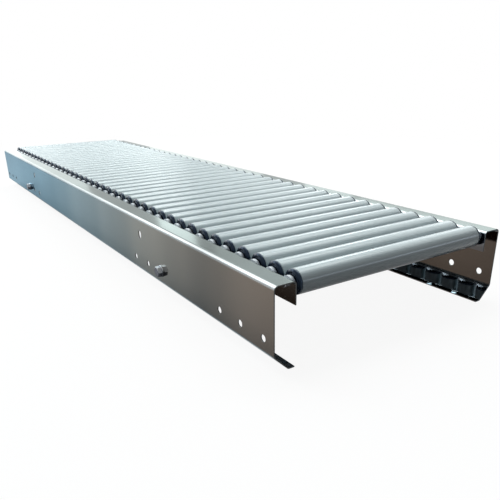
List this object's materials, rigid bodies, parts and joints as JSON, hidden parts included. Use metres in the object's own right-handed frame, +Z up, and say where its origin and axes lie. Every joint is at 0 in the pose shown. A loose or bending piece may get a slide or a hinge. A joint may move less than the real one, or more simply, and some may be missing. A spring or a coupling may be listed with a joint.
{
  "type": "roller conveyor",
  "caption": "Gravity roller conveyor section: closely pitched free-running rollers on hexagonal axles between two bent stainless side frames, bolted together by round tie bars.",
  "frame": {"origin": "middle of the conveyor on the plane of the soles", "axes": "+X along the conveyor towards the near end, +Y across it from the front frame to the back frame, +Z up"},
  "size_m": [2.337, 0.664, 0.184],
  "materials": {
    "frame_steel": "polished stainless sheet",
    "roller_tube": "smooth grey tube",
    "roller_cap": "black moulded bearing housing",
    "hub_plastic": "pale grey moulding",
    "axle_steel": "bright drawn hexagonal bar",
    "tie_steel": "turned bar",
    "fastener_steel": "bright stainless bolt"
  },
  "bodies": {
    "frame": {"side_frame_front": "frame_steel", "side_frame_back": "frame_steel", "roller_axles": "axle_steel", "hub_spacers_front": "hub_plastic", "hub_spacers_back": "hub_plastic", "tie_bar_near": "tie_steel", "tie_bar_far": "tie_steel", "tie_bolts": "fastener_steel", "tie_washers": "fastener_steel"},
    "roller_01": {"roller_01": "roller_tube"},
    "roller_02": {"roller_02": "roller_tube"},
    "roller_03": {"roller_03": "roller_tube"},
    "roller_04": {"roller_04": "roller_tube"},
    "roller_05": {"roller_05": "roller_tube"},
    "roller_06": {"roller_06": "roller_tube"},
    "roller_07": {"roller_07": "roller_tube"},
    "roller_08": {"roller_08": "roller_tube"},
    "roller_09": {"roller_09": "roller_tube"},
    "roller_10": {"roller_10": "roller_tube"},
    "roller_11": {"roller_11": "roller_tube"},
    "roller_12": {"roller_12": "roller_tube"},
    "roller_13": {"roller_13": "roller_tube"},
    "roller_14": {"roller_14": "roller_tube"},
    "roller_15": {"roller_15": "roller_tube"},
    "roller_16": {"roller_16": "roller_tube"},
    "roller_17": {"roller_17": "roller_tube"},
    "roller_18": {"roller_18": "roller_tube"},
    "roller_19": {"roller_19": "roller_tube"},
    "roller_20": {"roller_20": "roller_tube"},
    "roller_21": {"roller_21": "roller_tube"},
    "roller_22": {"roller_22": "roller_tube"},
    "roller_23": {"roller_23": "roller_tube"},
    "roller_24": {"roller_24": "roller_tube"},
    "roller_25": {"roller_25": "roller_tube"},
    "roller_26": {"roller_26": "roller_tube"},
    "roller_27": {"roller_27": "roller_tube"},
    "roller_28": {"roller_28": "roller_tube"},
    "roller_29": {"roller_29": "roller_tube"},
    "roller_30": {"roller_30": "roller_tube"},
    "roller_31": {"roller_31": "roller_tube"},
    "roller_32": {"roller_32": "roller_tube"},
    "roller_33": {"roller_33": "roller_tube"},
    "roller_34": {"roller_34": "roller_tube"},
    "roller_35": {"roller_35": "roller_tube"},
    "roller_36": {"roller_36": "roller_tube"},
    "roller_37": {"roller_37": "roller_tube"},
    "roller_38": {"roller_38": "roller_tube"},
    "roller_39": {"roller_39": "roller_tube"},
    "roller_40": {"roller_40": "roller_tube"},
    "roller_41": {"roller_41": "roller_tube"}
  },
  "joints": [
    {"name": "roller_01_spin", "type": "hinge", "parent": "frame", "child": "roller_01", "pos_m": [1.14, 0, 0.159], "axis": [0, 1, 0], "continuous": true},
    {"name": "roller_02_spin", "type": "hinge", "parent": "frame", "child": "roller_02", "pos_m": [1.083, 0, 0.159], "axis": [0, 1, 0], "continuous": true},
    {"name": "roller_03_spin", "type": "hinge", "parent": "frame", "child": "roller_03", "pos_m": [1.026, 0, 0.159], "axis": [0, 1, 0], "continuous": true},
    {"name": "roller_04_spin", "type": "hinge", "parent": "frame", "child": "roller_04", "pos_m": [0.969, 0, 0.159], "axis": [0, 1, 0], "continuous": true},
    {"name": "roller_05_spin", "type": "hinge", "parent": "frame", "child": "roller_05", "pos_m": [0.912, 0, 0.159], "axis": [0, 1, 0], "continuous": true},
    {"name": "roller_06_spin", "type": "hinge", "parent": "frame", "child": "roller_06", "pos_m": [0.855, 0, 0.159], "axis": [0, 1, 0], "continuous": true},
    {"name": "roller_07_spin", "type": "hinge", "parent": "frame", "child": "roller_07", "pos_m": [0.798, 0, 0.159], "axis": [0, 1, 0], "continuous": true},
    {"name": "roller_08_spin", "type": "hinge", "parent": "frame", "child": "roller_08", "pos_m": [0.741, 0, 0.159], "axis": [0, 1, 0], "continuous": true},
    {"name": "roller_09_spin", "type": "hinge", "parent": "frame", "child": "roller_09", "pos_m": [0.684, 0, 0.159], "axis": [0, 1, 0], "continuous": true},
    {"name": "roller_10_spin", "type": "hinge", "parent": "frame", "child": "roller_10", "pos_m": [0.627, 0, 0.159], "axis": [0, 1, 0], "continuous": true},
    {"name": "roller_11_spin", "type": "hinge", "parent": "frame", "child": "roller_11", "pos_m": [0.57, 0, 0.159], "axis": [0, 1, 0], "continuous": true},
    {"name": "roller_12_spin", "type": "hinge", "parent": "frame", "child": "roller_12", "pos_m": [0.513, 0, 0.159], "axis": [0, 1, 0], "continuous": true},
    {"name": "roller_13_spin", "type": "hinge", "parent": "frame", "child": "roller_13", "pos_m": [0.456, 0, 0.159], "axis": [0, 1, 0], "continuous": true},
    {"name": "roller_14_spin", "type": "hinge", "parent": "frame", "child": "roller_14", "pos_m": [0.399, 0, 0.159], "axis": [0, 1, 0], "continuous": true},
    {"name": "roller_15_spin", "type": "hinge", "parent": "frame", "child": "roller_15", "pos_m": [0.342, 0, 0.159], "axis": [0, 1, 0], "continuous": true},
    {"name": "roller_16_spin", "type": "hinge", "parent": "frame", "child": "roller_16", "pos_m": [0.285, 0, 0.159], "axis": [0, 1, 0], "continuous": true},
    {"name": "roller_17_spin", "type": "hinge", "parent": "frame", "child": "roller_17", "pos_m": [0.228, 0, 0.159], "axis": [0, 1, 0], "continuous": true},
    {"name": "roller_18_spin", "type": "hinge", "parent": "frame", "child": "roller_18", "pos_m": [0.171, 0, 0.159], "axis": [0, 1, 0], "continuous": true},
    {"name": "roller_19_spin", "type": "hinge", "parent": "frame", "child": "roller_19", "pos_m": [0.114, 0, 0.159], "axis": [0, 1, 0], "continuous": true},
    {"name": "roller_20_spin", "type": "hinge", "parent": "frame", "child": "roller_20", "pos_m": [0.057, 0, 0.159], "axis": [0, 1, 0], "continuous": true},
    {"name": "roller_21_spin", "type": "hinge", "parent": "frame", "child": "roller_21", "pos_m": [0, 0, 0.159], "axis": [0, 1, 0], "continuous": true},
    {"name": "roller_22_spin", "type": "hinge", "parent": "frame", "child": "roller_22", "pos_m": [-0.057, 0, 0.159], "axis": [0, 1, 0], "continuous": true},
    {"name": "roller_23_spin", "type": "hinge", "parent": "frame", "child": "roller_23", "pos_m": [-0.114, 0, 0.159], "axis": [0, 1, 0], "continuous": true},
    {"name": "roller_24_spin", "type": "hinge", "parent": "frame", "child": "roller_24", "pos_m": [-0.171, 0, 0.159], "axis": [0, 1, 0], "continuous": true},
    {"name": "roller_25_spin", "type": "hinge", "parent": "frame", "child": "roller_25", "pos_m": [-0.228, 0, 0.159], "axis": [0, 1, 0], "continuous": true},
    {"name": "roller_26_spin", "type": "hinge", "parent": "frame", "child": "roller_26", "pos_m": [-0.285, 0, 0.159], "axis": [0, 1, 0], "continuous": true},
    {"name": "roller_27_spin", "type": "hinge", "parent": "frame", "child": "roller_27", "pos_m": [-0.342, 0, 0.159], "axis": [0, 1, 0], "continuous": true},
    {"name": "roller_28_spin", "type": "hinge", "parent": "frame", "child": "roller_28", "pos_m": [-0.399, 0, 0.159], "axis": [0, 1, 0], "continuous": true},
    {"name": "roller_29_spin", "type": "hinge", "parent": "frame", "child": "roller_29", "pos_m": [-0.456, 0, 0.159], "axis": [0, 1, 0], "continuous": true},
    {"name": "roller_30_spin", "type": "hinge", "parent": "frame", "child": "roller_30", "pos_m": [-0.513, 0, 0.159], "axis": [0, 1, 0], "continuous": true},
    {"name": "roller_31_spin", "type": "hinge", "parent": "frame", "child": "roller_31", "pos_m": [-0.57, 0, 0.159], "axis": [0, 1, 0], "continuous": true},
    {"name": "roller_32_spin", "type": "hinge", "parent": "frame", "child": "roller_32", "pos_m": [-0.627, 0, 0.159], "axis": [0, 1, 0], "continuous": true},
    {"name": "roller_33_spin", "type": "hinge", "parent": "frame", "child": "roller_33", "pos_m": [-0.684, 0, 0.159], "axis": [0, 1, 0], "continuous": true},
    {"name": "roller_34_spin", "type": "hinge", "parent": "frame", "child": "roller_34", "pos_m": [-0.741, 0, 0.159], "axis": [0, 1, 0], "continuous": true},
    {"name": "roller_35_spin", "type": "hinge", "parent": "frame", "child": "roller_35", "pos_m": [-0.798, 0, 0.159], "axis": [0, 1, 0], "continuous": true},
    {"name": "roller_36_spin", "type": "hinge", "parent": "frame", "child": "roller_36", "pos_m": [-0.855, 0, 0.159], "axis": [0, 1, 0], "continuous": true},
    {"name": "roller_37_spin", "type": "hinge", "parent": "frame", "child": "roller_37", "pos_m": [-0.912, 0, 0.159], "axis": [0, 1, 0], "continuous": true},
    {"name": "roller_38_spin", "type": "hinge", "parent": "frame", "child": "roller_38", "pos_m": [-0.969, 0, 0.159], "axis": [0, 1, 0], "continuous": true},
    {"name": "roller_39_spin", "type": "hinge", "parent": "frame", "child": "roller_39", "pos_m": [-1.026, 0, 0.159], "axis": [0, 1, 0], "continuous": true},
    {"name": "roller_40_spin", "type": "hinge", "parent": "frame", "child": "roller_40", "pos_m": [-1.083, 0, 0.159], "axis": [0, 1, 0], "continuous": true},
    {"name": "roller_41_spin", "type": "hinge", "parent": "frame", "child": "roller_41", "pos_m": [-1.14, 0, 0.159], "axis": [0, 1, 0], "continuous": true}
  ]
}
